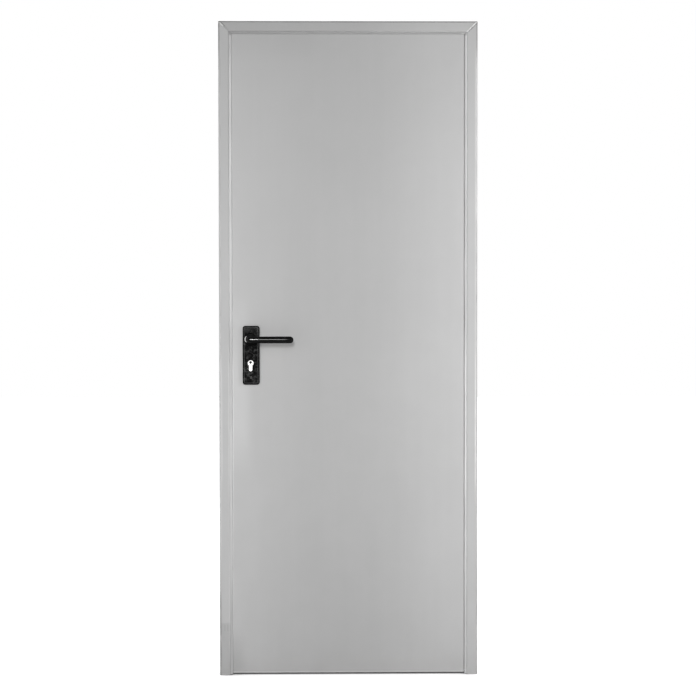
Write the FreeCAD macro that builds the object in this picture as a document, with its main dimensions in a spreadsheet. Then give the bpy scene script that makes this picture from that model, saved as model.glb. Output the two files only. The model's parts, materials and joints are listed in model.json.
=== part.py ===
# Steel utility door: folded sheet frame, hollow sheet leaf on two hinges, lever set and key cylinder.
# Millimetres. X runs to the right seen from the push side, Y from the push side to the pull side, Z up.
# The origin is on the floor, on the wall face of the hinge jamb, at the middle of its push-side lip.
import FreeCAD, Part
import Sketcher
import os

SIZES = {
    # frame: one folded sheet profile on three sides, mitred at the top corners
    "frame_width": 790.0,
    "frame_height": 2000.0,
    "frame_face": 32.0,
    "frame_depth": 50.0,
    "frame_lip": 16.0,
    "frame_sheet": 1.5,
    "frame_bend": 2.5,
    "wall_bend": 5.0,
    "mitre_gap": 0.4,
    "cleat_reach": 80.0,
    "cleat_width": 30.0,
    "cleat_sheet": 2.0,
    "fixing_hole": 9.0,
    "fixing_height": 370.0,
    "fixing_pitch": 707.0,
    # leaf: push-side tray closed by a pull-side skin whose hemmed lip laps over the frame
    "leaf_recess": 12.0,
    "side_gap": 7.0,
    "head_gap": 5.0,
    "floor_gap": 5.0,
    "leaf_sheet": 0.8,
    "leaf_bend": 1.8,
    "tray_flange": 15.0,
    "lip_reach": 13.0,
    "lip_gap": 5.0,
    "hem_width": 11.0,
    "channel_height": 25.0,
    "channel_sheet": 1.2,
    # hinges: lift-off knuckles on the pull side, the low one set from the floor, the high one from the top
    "hinge_low": 300.0,
    "hinge_high": 300.0,
    "hinge_reach": 12.0,
    "hinge_stand": 6.0,
    "knuckle_radius": 7.5,
    "knuckle_length": 45.0,
    "knuckle_cap": 5.0,
    "foot_width": 14.0,
    "foot_sheet": 4.0,
    "neck_width": 6.0,
    "wing_length": 60.0,
    "wing_sheet": 4.0,
    "pin_radius": 5.0,
    "pin_clearance": 0.08,
    "pin_end_gap": 0.5,
    "washer_sheet": 1.5,
    "washer_gap": 0.3,
    # lever set on two backplates
    "lever_height": 1031.0,
    "backset": 57.0,
    "plate_width": 52.0,
    "plate_height": 180.0,
    "plate_sheet": 8.0,
    "plate_rise": 42.0,
    "plate_shift": 1.5,
    "plate_corner": 8.0,
    "plate_round": 4.0,
    "collar_radius": 20.25,
    "collar_rise": 6.0,
    "collar_round": 5.0,
    "lever_radius": 10.5,
    "lever_reach": 132.0,
    "lever_stand": 52.0,
    "neck_clearance": 0.3,
    "neck_foot_gap": 1.0,
    "spindle_width": 8.0,
    "spindle_entry": 26.0,
    "spindle_clearance": 0.05,
    "spindle_way": 3.0,
    # key cylinder
    "cylinder_drop": 72.0,
    "cylinder_radius": 8.5,
    "cylinder_stem": 10.0,
    "cylinder_span": 33.0,
    "cylinder_proud": 2.0,
    "cylinder_clearance": 0.3,
    "plug_radius": 6.5,
    "plug_length": 25.0,
    "plug_clearance": 0.08,
    "plug_end_gap": 0.3,
    "keyway_width": 2.8,
    "keyway_height": 8.0,
    "keyway_depth": 20.0,
    # mortice lock in the leaf's lock edge
    "case_length": 90.0,
    "case_height": 165.0,
    "case_width": 15.0,
    "case_sheet": 1.5,
    "case_rise": 50.0,
    "faceplate_height": 235.0,
    "faceplate_width": 24.0,
    "faceplate_sheet": 3.0,
    "faceplate_rise": 78.0,
    "faceplate_clearance": 0.2,
    "latch_width": 11.0,
    "latch_height": 28.0,
    "latch_rise": 8.0,
    "latch_length": 30.0,
    "bolt_width": 10.0,
    "bolt_height": 36.0,
    "bolt_drop": 62.0,
    "bolt_length": 42.0,
    "bolt_clearance": 0.3,
    # strike openings in the lock jamb
    "strike_margin": 3.0,
    "strike_rim": 4.5,
    "strike_box_depth": 22.0,
    "strike_box_sheet": 1.0,
}

doc = FreeCAD.newDocument("UtilityDoor")
sheet = doc.addObject("Spreadsheet::Sheet", "Sizes")
for row, (alias, number) in enumerate(SIZES.items(), start=1):
    sheet.set(f"A{row}", alias)
    sheet.set(f"B{row}", str(number))
    sheet.setAlias(f"B{row}", alias)
doc.recompute()


class Length:
    """A length written as an expression on the sheet, so that sums of sizes stay bound to their cells."""

    def __init__(self, text):
        self.text = text

    @staticmethod
    def of(other):
        return other if isinstance(other, Length) else Length(repr(float(other)))

    def __add__(self, other):
        return Length(f"({self.text} + {Length.of(other).text})")

    def __sub__(self, other):
        return Length(f"({self.text} - {Length.of(other).text})")

    def __mul__(self, factor):
        return Length(f"({self.text} * {Length.of(factor).text})")

    def __truediv__(self, divisor):
        return Length(f"({self.text} / {Length.of(divisor).text})")

    def __neg__(self):
        return Length(f"(-1 * {self.text})")

    def value(self):
        return float(sheet.evalExpression(self.text.replace("Sizes.", "")))


class Sizes:
    """Each size of the sheet by its alias."""

    def __getattr__(self, alias):
        return Length(f"Sizes.{alias}")


size = Sizes()
ZERO = Length("0.0")

# frame planes
push_plane = -size.frame_lip / 2
pull_plane = push_plane + size.frame_depth
mid_depth = push_plane + size.frame_depth / 2
hinge_reveal = -size.frame_face
lock_wall = -size.frame_width
lock_reveal = lock_wall + size.frame_face
head_reveal = size.frame_height - size.frame_face

# leaf planes
leaf_push = push_plane + size.leaf_recess
hem_inner = pull_plane + size.lip_gap
skin_inner = hem_inner + size.leaf_sheet
leaf_pull = skin_inner + size.leaf_sheet
leaf_middle = (leaf_push + leaf_pull) / 2
leaf_hinge_edge = hinge_reveal - size.side_gap
leaf_lock_edge = lock_reveal + size.side_gap
leaf_top = head_reveal - size.head_gap
lip_hinge_edge = leaf_hinge_edge + size.lip_reach
lip_lock_edge = leaf_lock_edge - size.lip_reach
lip_top = leaf_top + size.lip_reach

# hinge axis, lever axis and key axis
hinge_x = lip_hinge_edge + size.hinge_reach
hinge_y = leaf_pull + size.hinge_stand
lever_x = leaf_lock_edge + size.backset
lever_z = size.lever_height
key_z = lever_z - size.cylinder_drop
push_plate_face = leaf_push - size.plate_sheet
pull_plate_face = leaf_pull + size.plate_sheet

# lock heights
latch_z = lever_z + size.latch_rise
bolt_z = lever_z - size.bolt_drop
faceplate_z = (lever_z + size.faceplate_rise - size.faceplate_height, lever_z + size.faceplate_rise)

X_AXIS = FreeCAD.Vector(1, 0, 0)
Y_AXIS = FreeCAD.Vector(0, 1, 0)
Z_AXIS = FreeCAD.Vector(0, 0, 1)
SQUARE_TURN = 90
MITRE_TURN = 45
DIAGONAL = 2 ** 0.5
FIXINGS_PER_JAMB = 3


def place(obj, x, y, z, axis=Z_AXIS, turn=0):
    obj.Placement = FreeCAD.Placement(FreeCAD.Vector(), FreeCAD.Rotation(axis, turn))
    for letter, length in zip("xyz", (x, y, z)):
        obj.setExpression(f"Placement.Base.{letter}", length.text)
    return obj


def bind(obj, **lengths):
    for name, length in lengths.items():
        obj.setExpression(name, length.text)
    return obj


def box(name, x_span, y_span, z_span):
    obj = doc.addObject("Part::Box", name)
    bind(obj, Length=x_span[1] - x_span[0], Width=y_span[1] - y_span[0], Height=z_span[1] - z_span[0])
    return place(obj, x_span[0], y_span[0], z_span[0])


def rod(name, radius, start, length, axis=Z_AXIS, turn=0):
    obj = bind(doc.addObject("Part::Cylinder", name), Radius=radius, Height=length)
    return place(obj, *start, axis, turn)


def rod_along_y(name, radius, x, z, y_span):
    return rod(name, radius, (x, y_span[0], z), y_span[1] - y_span[0], X_AXIS, -SQUARE_TURN)


def rod_along_x(name, radius, y, z, x_span):
    return rod(name, radius, (x_span[0], y, z), x_span[1] - x_span[0], Y_AXIS, SQUARE_TURN)


def fuse(name, *pieces):
    obj = doc.addObject("Part::MultiFuse", name)
    obj.Shapes = list(pieces)
    obj.Refine = True
    return obj


def cut(name, base, *tools):
    obj = doc.addObject("Part::Cut", name)
    obj.Base = base
    obj.Tool = tools[0] if len(tools) == 1 else fuse(f"{name}_cutters", *tools)
    return obj


def around(middle, width):
    return middle - width / 2, middle + width / 2


def outward_span(seat, face, outward):
    """Span along Y from a seat to a face on the push side (outward -1) or the pull side (outward +1)."""
    return (face, seat) if outward < 0 else (seat, face)


def new_body(name):
    return doc.addObject("PartDesign::Body", name)


def padded_outline(body, points, start, length):
    """Pad of a closed outline in the body's XY plane: every corner is bound to its two coordinates."""
    sketch = body.newObject("Sketcher::SketchObject", f"{body.Name}_outline")
    planes = [plane for plane in body.Origin.OriginFeatures if plane.Role == "XY_Plane"]
    sketch.AttachmentSupport = (planes[0], [""])
    sketch.MapMode = "FlatFace"
    sketch.setExpression("AttachmentOffset.Base.z", start.text)
    corners = [FreeCAD.Vector(u.value(), v.value(), 0) for u, v in points]
    count = len(corners)
    for k, corner in enumerate(corners):
        sketch.addGeometry(Part.LineSegment(corner, corners[(k + 1) % count]))
    for k in range(count):
        sketch.addConstraint(Sketcher.Constraint("Coincident", k, 2, (k + 1) % count, 1))
    for k, (u, v) in enumerate(points):
        for kind, length_from_origin in (("DistanceX", u), ("DistanceY", v)):
            datum = Sketcher.Constraint(kind, -1, 1, k, 1, length_from_origin.value())
            index = sketch.addConstraint(datum)
            sketch.setExpression(f"Constraints[{index}]", length_from_origin.text)
    pad = body.newObject("PartDesign::Pad", f"{body.Name}_pad")
    pad.Profile = sketch
    bind(pad, Length=length)
    doc.recompute()
    return body


def rounded(body, name, radius, wanted):
    """Fillet on the body's straight and round edges whose middle and direction pass the given test."""
    base = body.Tip
    names = []
    for k, edge in enumerate(base.Shape.Edges, start=1):
        halfway = (edge.FirstParameter + edge.LastParameter) / 2
        if wanted(edge.valueAt(halfway), edge.tangentAt(halfway)):
            names.append(f"Edge{k}")
    fillet = body.newObject("PartDesign::Fillet", f"{body.Name}_{name}")
    fillet.Base = (base, names)
    bind(fillet, Radius=radius)
    doc.recompute()
    return body


def block_body(name, x_span, y_span, z_span):
    corners = [
        (x_span[0], y_span[0]),
        (x_span[1], y_span[0]),
        (x_span[1], y_span[1]),
        (x_span[0], y_span[1]),
    ]
    return padded_outline(new_body(name), corners, z_span[0], z_span[1] - z_span[0])


def near(a, b):
    return abs(a - b) < 1e-4


def frame_bar(name, length):
    """The folded profile along Z: reveal web at x = 0, faces at both ends of its depth, lips at the wall."""
    face, depth, lip, t = size.frame_face, size.frame_depth, size.frame_lip, size.frame_sheet
    outline = [
        (ZERO, ZERO),
        (face, ZERO),
        (face, lip),
        (face - t, lip),
        (face - t, t),
        (t, t),
        (t, depth - t),
        (face - t, depth - t),
        (face - t, depth - lip),
        (face, depth - lip),
        (face, depth),
        (ZERO, depth),
    ]
    body = padded_outline(new_body(name), outline, ZERO, length)

    def on_corners(x, y_pair):
        def test(middle, along):
            upright = near(abs(along.z), 1)
            return upright and near(middle.x, x.value()) and any(near(middle.y, y.value()) for y in y_pair)
        return test

    for side, outer_x, inner_x, bend in (
        ("reveal", ZERO, t, size.frame_bend),
        ("wall", face, face - t, size.wall_bend),
    ):
        rounded(body, f"{side}_outer_bends", bend, on_corners(outer_x, (ZERO, depth)))
        rounded(body, f"{side}_inner_bends", bend - t, on_corners(inner_x, (t, depth - t)))
    return body


def mitre_cutter(name, corner_x, side, above):
    """Block whose face lies on the mitre plane, half the seam away from it; side is +1 at the hinge jamb."""
    overshoot = size.frame_face
    reach = (size.frame_face + overshoot * 2) * DIAGONAL
    tall = size.frame_face * 4
    shift = -size.mitre_gap / 2 if above else size.mitre_gap / 2 - tall
    obj = bind(doc.addObject("Part::Box", name), Length=reach, Width=size.frame_depth * 2, Height=tall)
    start_y = push_plane - size.frame_depth / 2
    if side > 0:
        x = corner_x - size.frame_face - overshoot - shift / DIAGONAL
        z = size.frame_height - size.frame_face - overshoot + shift / DIAGONAL
    else:
        x = corner_x - overshoot + shift / DIAGONAL
        z = size.frame_height + overshoot + shift / DIAGONAL
    return place(obj, x, start_y, z, Y_AXIS, -MITRE_TURN * side)


def fixing_holes(name, web_face):
    """Screw holes through the web of a jamb, on its middle depth."""
    holes = []
    span = around(web_face, size.frame_face)
    for k in range(FIXINGS_PER_JAMB):
        height = size.fixing_height + size.fixing_pitch * k
        holes.append(rod_along_x(f"{name}_{k}", size.fixing_hole / 2, mid_depth, height, span))
    return holes


def strike_opening(name, width, height, middle_z):
    margin = size.strike_margin * 2
    x_span = (lock_reveal - size.frame_sheet * 3, lock_reveal + size.frame_sheet)
    return box(name, x_span, around(leaf_middle, width + margin), around(middle_z, height + margin))


def make_frame():
    hinge_bar = place(frame_bar("hinge_bar", size.frame_height), hinge_reveal, push_plane, ZERO)
    hinge_jamb = cut(
        "hinge_jamb",
        hinge_bar,
        mitre_cutter("hinge_jamb_mitre", ZERO, 1, True),
        *fixing_holes("hinge_fixing", hinge_reveal),
    )
    lock_bar = frame_bar("lock_bar", size.frame_height)
    place(lock_bar, lock_reveal, pull_plane, ZERO, Z_AXIS, 2 * SQUARE_TURN)
    lock_jamb = cut(
        "lock_jamb",
        lock_bar,
        mitre_cutter("lock_jamb_mitre", lock_wall, -1, True),
        strike_opening("latch_opening", size.latch_width, size.latch_height, latch_z),
        strike_opening("bolt_opening", size.bolt_width, size.bolt_height, bolt_z),
        *fixing_holes("lock_fixing", lock_reveal),
    )
    head_bar = frame_bar("head_bar", size.frame_width)
    place(head_bar, ZERO, push_plane, head_reveal, Y_AXIS, -SQUARE_TURN)
    frame_head = cut(
        "frame_head",
        head_bar,
        mitre_cutter("head_hinge_mitre", ZERO, 1, False),
        mitre_cutter("head_lock_mitre", lock_wall, -1, False),
    )
    return {"hinge_jamb": hinge_jamb, "lock_jamb": lock_jamb, "frame_head": frame_head}


def make_corner_cleats():
    """Angle plates inside both mitres, one leg on the jamb's web and one on the head's."""
    t = size.cleat_sheet
    seat_z = head_reveal + size.frame_sheet
    y_span = around(mid_depth, size.cleat_width)
    seat_x = hinge_reveal + size.frame_sheet
    down_leg = box("hinge_cleat_down", (seat_x, seat_x + t), y_span, (seat_z - size.cleat_reach, seat_z + t))
    side_leg = box("hinge_cleat_side", (seat_x - size.cleat_reach, seat_x), y_span, (seat_z, seat_z + t))
    hinge_cleat = fuse("hinge_corner_cleat", down_leg, side_leg)
    seat_x = lock_reveal - size.frame_sheet
    down_leg = box("lock_cleat_down", (seat_x - t, seat_x), y_span, (seat_z - size.cleat_reach, seat_z + t))
    side_leg = box("lock_cleat_side", (seat_x, seat_x + size.cleat_reach), y_span, (seat_z, seat_z + t))
    lock_cleat = fuse("lock_corner_cleat", down_leg, side_leg)
    return {"hinge_corner_cleat": hinge_cleat, "lock_corner_cleat": lock_cleat}


def make_strike_box():
    """Dust box behind both strike openings, open towards the jamb's web."""
    t = size.strike_box_sheet
    rim = size.strike_margin + size.strike_rim
    seat = lock_reveal - size.frame_sheet
    x_span = (seat - size.strike_box_depth, seat)
    y_span = around(leaf_middle, size.latch_width + rim * 2)
    z_span = (bolt_z - size.bolt_height / 2 - rim, latch_z + size.latch_height / 2 + rim)
    shell = box("strike_shell", x_span, y_span, z_span)
    hollow = box(
        "strike_hollow",
        (x_span[0] + t, x_span[1] + t),
        (y_span[0] + t, y_span[1] - t),
        (z_span[0] + t, z_span[1] - t),
    )
    return {"strike_box": cut("strike_box", shell, hollow)}


def make_leaf_shell():
    t = size.leaf_sheet
    tray_x = (leaf_lock_edge, leaf_hinge_edge)
    tray_z = (size.floor_gap, leaf_top)

    def front_edges(x_span, front, top):
        def test(middle, along):
            upright = near(abs(along.z), 1) and any(near(middle.x, x.value()) for x in x_span)
            across = near(abs(along.x), 1) and near(middle.z, top.value())
            return near(middle.y, front.value()) and (upright or across)
        return test

    outer = block_body("tray_outer", tray_x, (leaf_push, skin_inner), tray_z)
    rounded(outer, "bends", size.leaf_bend, front_edges(tray_x, leaf_push, leaf_top))
    inner_x = (tray_x[0] + t, tray_x[1] - t)
    inner_front = leaf_push + t
    inner_z = (size.floor_gap - t, leaf_top - t)
    inner = block_body("tray_inner", inner_x, (inner_front, skin_inner - t), inner_z)
    rounded(inner, "bends", size.leaf_bend - t, front_edges(inner_x, inner_front, inner_z[1]))
    window = box(
        "tray_window",
        (tray_x[0] + size.tray_flange, tray_x[1] - size.tray_flange),
        (leaf_middle, skin_inner + t),
        (size.floor_gap - t, leaf_top - size.tray_flange),
    )
    faceplate_way = box(
        "tray_faceplate_way",
        (leaf_lock_edge - t, leaf_lock_edge + t * 3),
        around(leaf_middle, size.faceplate_width + size.faceplate_clearance * 2),
        (faceplate_z[0] - size.faceplate_clearance, faceplate_z[1] + size.faceplate_clearance),
    )
    way = (leaf_push - t, leaf_push + t * 3)
    tray = cut("leaf_push_tray", outer, inner, window, faceplate_way, *lock_ways("tray", way))

    lip_x = (lip_lock_edge, lip_hinge_edge)
    plate = box("skin_plate", lip_x, (hem_inner, leaf_pull), (size.floor_gap, lip_top))
    bed = box(
        "skin_bed",
        (lip_x[0] + size.hem_width, lip_x[1] - size.hem_width),
        (hem_inner - t, skin_inner),
        (size.floor_gap - t, lip_top - size.hem_width),
    )
    way = (skin_inner - t, leaf_pull + t)
    skin = cut("leaf_pull_skin", plate, bed, *lock_ways("skin", way))

    c = size.channel_sheet
    inner_bend = size.leaf_bend - t
    channel_x = (inner_x[0] + inner_bend, inner_x[1] - inner_bend)
    channel_y = (leaf_push + t, skin_inner - t)
    channel_z = (size.floor_gap, size.floor_gap + size.channel_height)
    block = box("channel_block", channel_x, channel_y, channel_z)
    hollow = box(
        "channel_hollow",
        (channel_x[0] - c, channel_x[1] + c),
        (channel_y[0] + c, channel_y[1] - c),
        (channel_z[0] - c, channel_z[1] - c),
    )
    channel = cut("leaf_bottom_channel", block, hollow)
    return {"leaf_push_tray": tray, "leaf_pull_skin": skin, "leaf_bottom_channel": channel}


def cylinder_section(name, y_span, clearance):
    """Key cylinder profile along Y: a round body with a narrower stem below it that ends in a half round."""
    half_stem = size.cylinder_stem / 2
    foot_z = key_z + size.cylinder_radius - size.cylinder_span + half_stem
    body = rod_along_y(f"{name}_round", size.cylinder_radius + clearance, lever_x, key_z, y_span)
    stem_x = around(lever_x, size.cylinder_stem + clearance * 2)
    stem = box(f"{name}_stem", stem_x, y_span, (foot_z, key_z))
    foot = rod_along_y(f"{name}_foot", half_stem + clearance, lever_x, foot_z, y_span)
    return fuse(f"{name}_section", body, stem, foot)


def lock_ways(name, y_span):
    """Spindle hole and cylinder hole through a sheet of the leaf or a cheek of the lock case."""
    spindle_radius = size.spindle_width * (DIAGONAL / 2) + size.spindle_way
    spindle = rod_along_y(f"{name}_spindle_way", spindle_radius, lever_x, lever_z, y_span)
    cylinder = cylinder_section(f"{name}_cylinder_way", y_span, size.cylinder_clearance)
    return spindle, cylinder


def make_lock():
    t = size.case_sheet
    back = leaf_lock_edge + size.faceplate_sheet
    case_x = (back, back + size.case_length)
    case_y = around(leaf_middle, size.case_width)
    case_z = (lever_z + size.case_rise - size.case_height, lever_z + size.case_rise)
    shell = box("case_shell", case_x, case_y, case_z)
    hollow = box(
        "case_hollow",
        (case_x[0] - t, case_x[1] - t),
        (case_y[0] + t, case_y[1] - t),
        (case_z[0] + t, case_z[1] - t),
    )
    way = (case_y[0] - t, case_y[1] + t)
    case = cut("lock_case", shell, hollow, *lock_ways("case", way))

    plate_y = around(leaf_middle, size.faceplate_width)
    plate = box("faceplate_bar", (leaf_lock_edge, back), plate_y, faceplate_z)
    ways = []
    bolts = {}
    for name, width, height, length, z in (
        ("latch_bolt", size.latch_width, size.latch_height, size.latch_length, latch_z),
        ("dead_bolt", size.bolt_width, size.bolt_height, size.bolt_length, bolt_z),
    ):
        free = size.bolt_clearance * 2
        way_x = (leaf_lock_edge - t, back + t)
        ways.append(box(f"{name}_way", way_x, around(leaf_middle, width + free), around(z, height + free)))
        bolt_x = (leaf_lock_edge, leaf_lock_edge + length)
        bolts[name] = box(name, bolt_x, around(leaf_middle, width), around(z, height))
    faceplate = cut("lock_faceplate", plate, *ways)
    return {"lock_case": case, "lock_faceplate": faceplate, **bolts}


def make_cylinder():
    y_span = (push_plate_face - size.cylinder_proud, pull_plate_face + size.cylinder_proud)
    body = cylinder_section("cylinder", y_span, ZERO)
    bore_depth = size.plug_length + size.plug_end_gap
    bore_radius = size.plug_radius + size.plug_clearance
    bores = []
    plugs = {}
    for name, face, outward in (("push_plug", y_span[0], -1), ("pull_plug", y_span[1], 1)):
        bore_y = outward_span(face - bore_depth * outward, face, outward)
        plug_y = outward_span(face - size.plug_length * outward, face, outward)
        keyway_y = outward_span(face - size.keyway_depth * outward, face, outward)
        bores.append(rod_along_y(f"{name}_bore", bore_radius, lever_x, key_z, bore_y))
        round_plug = rod_along_y(f"{name}_round", size.plug_radius, lever_x, key_z, plug_y)
        keyway_x = around(lever_x, size.keyway_width)
        keyway = box(f"{name}_keyway", keyway_x, keyway_y, around(key_z, size.keyway_height))
        plugs[name] = cut(name, round_plug, keyway)
    return {"lock_cylinder": cut("lock_cylinder", body, *bores), **plugs}


def make_backplate(side, seat, outward):
    """Short plate set a little towards the hinge, with a raised collar round the lever, and lever and key holes."""
    face = seat + size.plate_sheet * outward
    y_span = outward_span(seat, face, outward)
    x_span = around(lever_x + size.plate_shift, size.plate_width)
    z_span = (lever_z + size.plate_rise - size.plate_height, lever_z + size.plate_rise)
    body = block_body(f"{side}_plate", x_span, y_span, z_span)

    def corner(middle, along):
        return near(abs(along.y), 1)

    def rim(middle, along):
        return near(middle.y, face.value())

    rounded(body, "corners", size.plate_corner, corner)
    rounded(body, "rim", size.plate_round, rim)
    top = face + size.collar_rise * outward
    disc_y = outward_span(seat, top, outward)
    disc = rod_along_y(f"{side}_disc", size.collar_radius, lever_x, lever_z, disc_y)
    collar = doc.addObject("Part::Fillet", f"{side}_collar")
    collar.Base = disc
    doc.recompute()
    round_radius = size.collar_round.value()
    collar.Edges = [
        (k, round_radius, round_radius)
        for k, edge in enumerate(disc.Shape.Edges, start=1)
        if edge.Closed and near(edge.CenterOfMass.y, top.value())
    ]
    plate = fuse(f"{side}_plate_and_collar", body, collar)
    through = size.collar_rise + size.plate_sheet * 2
    way = around(face, through * 2)
    neck = rod_along_y(f"{side}_neck_way", size.lever_radius + size.neck_clearance, lever_x, lever_z, way)
    key = cylinder_section(f"{side}_key_way", way, size.cylinder_clearance)
    return cut(f"{side}_backplate", plate, neck, key)


def make_lever(side, seat, outward):
    """Round bar: straight neck out of the backplate, ball corner, grip along X and a half-round end."""
    r = size.lever_radius
    foot = seat + size.neck_foot_gap * outward
    grip_y = seat + size.lever_stand * outward
    neck = rod_along_y(f"{side}_neck", r, lever_x, lever_z, outward_span(foot, grip_y, outward))
    grip_end = lever_x + size.lever_reach - r
    grip = rod_along_x(f"{side}_grip", r, grip_y, lever_z, (lever_x, grip_end))
    balls = []
    for name, x in (("corner", lever_x), ("tip", grip_end)):
        ball = bind(doc.addObject("Part::Sphere", f"{side}_{name}"), Radius=r)
        place(ball, x, grip_y, lever_z)
        balls.append(ball)
    bar = fuse(f"{side}_bar", neck, grip, *balls)
    wide = size.spindle_width + size.spindle_clearance * 2
    socket_end = foot + (size.spindle_entry + size.spindle_clearance) * outward
    socket_y = outward_span(seat, socket_end, outward)
    socket = box(f"{side}_socket", around(lever_x, wide), socket_y, around(lever_z, wide))
    return cut(f"{side}_lever", bar, socket)


def make_spindle():
    push_end = leaf_push - size.neck_foot_gap - size.spindle_entry
    pull_end = leaf_pull + size.neck_foot_gap + size.spindle_entry
    width = size.spindle_width
    return box("spindle", around(lever_x, width), (push_end, pull_end), around(lever_z, width))


def make_hinge(side, middle_z):
    """Lift-off hinge: frame knuckle with a fixed pin below, a washer, and the leaf knuckle above."""
    r = size.knuckle_radius
    tall = size.knuckle_length
    low = middle_z - tall
    washer_top = middle_z + size.washer_sheet
    leaf_low = washer_top + size.washer_gap
    leaf_high = leaf_low + tall
    pin_foot = low + size.knuckle_cap
    pin_head = leaf_high - size.knuckle_cap - size.pin_end_gap
    at = (hinge_x, hinge_y)

    frame_knuckle = rod(f"{side}_frame_knuckle", r, (*at, low), tall)
    foot_y = (pull_plane, pull_plane + size.foot_sheet)
    foot = box(f"{side}_foot", around(hinge_x, size.foot_width), foot_y, (low, middle_z))
    neck = box(f"{side}_foot_neck", around(hinge_x, size.neck_width), (pull_plane, hinge_y), (low, middle_z))
    pin_bore = rod(f"{side}_pin_bore", size.pin_radius + size.pin_clearance, (*at, pin_foot), tall)
    frame_half = cut(
        f"{side}_hinge_frame_half",
        fuse(f"{side}_frame_half_whole", frame_knuckle, foot, neck),
        pin_bore,
    )
    pin = rod(f"{side}_hinge_pin", size.pin_radius, (*at, pin_foot), pin_head - pin_foot)
    washer = cut(
        f"{side}_hinge_washer",
        rod(f"{side}_washer_disc", r, (*at, middle_z), size.washer_sheet),
        rod(f"{side}_washer_bore", size.pin_radius + size.pin_clearance, (*at, low), tall * 2),
    )
    leaf_knuckle = rod(f"{side}_leaf_knuckle", r, (*at, leaf_low), tall)
    wing = box(
        f"{side}_wing",
        (hinge_x - size.wing_length, hinge_x),
        (leaf_pull, leaf_pull + size.wing_sheet),
        (leaf_low, leaf_high),
    )
    leaf_bore_end = leaf_high - size.knuckle_cap
    leaf_bore = rod(
        f"{side}_leaf_bore",
        size.pin_radius + size.pin_clearance,
        (*at, middle_z),
        leaf_bore_end - middle_z,
    )
    leaf_half = cut(
        f"{side}_hinge_leaf_half",
        fuse(f"{side}_leaf_half_whole", leaf_knuckle, wing),
        leaf_bore,
    )
    return {
        f"{side}_hinge_frame_half": frame_half,
        f"{side}_hinge_pin": pin,
        f"{side}_hinge_washer": washer,
        f"{side}_hinge_leaf_half": leaf_half,
    }


nodes = {
    **make_frame(),
    **make_corner_cleats(),
    **make_strike_box(),
    **make_leaf_shell(),
    **make_lock(),
    **make_cylinder(),
    "push_backplate": make_backplate("push", leaf_push, -1),
    "pull_backplate": make_backplate("pull", leaf_pull, 1),
    "push_lever": make_lever("push", leaf_push, -1),
    "pull_lever": make_lever("pull", leaf_pull, 1),
    "spindle": make_spindle(),
    **make_hinge("lower", size.hinge_low),
    **make_hinge("upper", size.frame_height - size.hinge_high),
}
for node, obj in nodes.items():
    obj.Label = node
doc.recompute()

for obj in doc.Objects:
    if "Invalid" in obj.State or "Error" in obj.State:
        raise RuntimeError(f"{obj.Name} failed: {obj.State}")
for node, obj in nodes.items():
    if obj.Shape.isNull() or not obj.Shape.isValid():
        raise RuntimeError(f"{node} has no valid shape")
    if len(obj.Shape.Solids) != 1:
        raise RuntimeError(f"{node} is {len(obj.Shape.Solids)} solids, not one")

os.makedirs("parts", exist_ok=True)
for node, obj in nodes.items():
    obj.Shape.exportStep(f"parts/{node}.step")
    print(node, round(obj.Shape.Volume, 1))
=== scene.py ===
import bmesh
import bpy
import json
import math
import numpy as np
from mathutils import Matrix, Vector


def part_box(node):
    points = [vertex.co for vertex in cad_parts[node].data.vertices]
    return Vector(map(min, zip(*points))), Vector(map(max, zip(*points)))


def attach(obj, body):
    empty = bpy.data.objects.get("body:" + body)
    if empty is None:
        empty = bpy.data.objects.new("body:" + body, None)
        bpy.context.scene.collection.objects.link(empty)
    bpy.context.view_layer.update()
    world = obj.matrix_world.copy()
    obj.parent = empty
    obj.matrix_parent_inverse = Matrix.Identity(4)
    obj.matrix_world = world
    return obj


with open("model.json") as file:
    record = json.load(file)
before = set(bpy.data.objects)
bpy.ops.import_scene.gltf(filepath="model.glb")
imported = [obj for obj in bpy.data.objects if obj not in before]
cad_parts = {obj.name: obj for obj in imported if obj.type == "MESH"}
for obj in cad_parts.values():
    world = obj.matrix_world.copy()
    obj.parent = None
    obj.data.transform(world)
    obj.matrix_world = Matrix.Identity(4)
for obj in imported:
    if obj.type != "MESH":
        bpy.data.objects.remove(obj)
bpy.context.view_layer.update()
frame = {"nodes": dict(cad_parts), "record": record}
mm = 0.001
print("frame loaded", len(frame["nodes"]), "nodes")


# places on the door, read from the frame's nodes
def lowCorner(node):
    return np.array(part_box(node)[0])


def highCorner(node):
    return np.array(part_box(node)[1])


def middle(node):
    return (lowCorner(node) + highCorner(node)) / 2


cylinderProud = 2 * mm  # how far the cylinder's ends stand out of the backplates
door = {
    "lockWall": lowCorner("lock_jamb")[0],
    "lockReveal": highCorner("lock_jamb")[0],
    "hingeReveal": lowCorner("hinge_jamb")[0],
    "hingeWall": highCorner("hinge_jamb")[0],
    "headReveal": lowCorner("frame_head")[2],
    "top": highCorner("frame_head")[2],
    "pushFace": lowCorner("frame_head")[1],
    "pullFace": highCorner("frame_head")[1],
    "leafPush": lowCorner("leaf_push_tray")[1],
    "leafPull": highCorner("leaf_pull_skin")[1],
    "pushPlate": lowCorner("lock_cylinder")[1] + cylinderProud,
    "pullPlate": highCorner("lock_cylinder")[1] - cylinderProud,
    "leverAxis": middle("spindle"),
    "keyAxis": middle("push_plug"),
}


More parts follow.
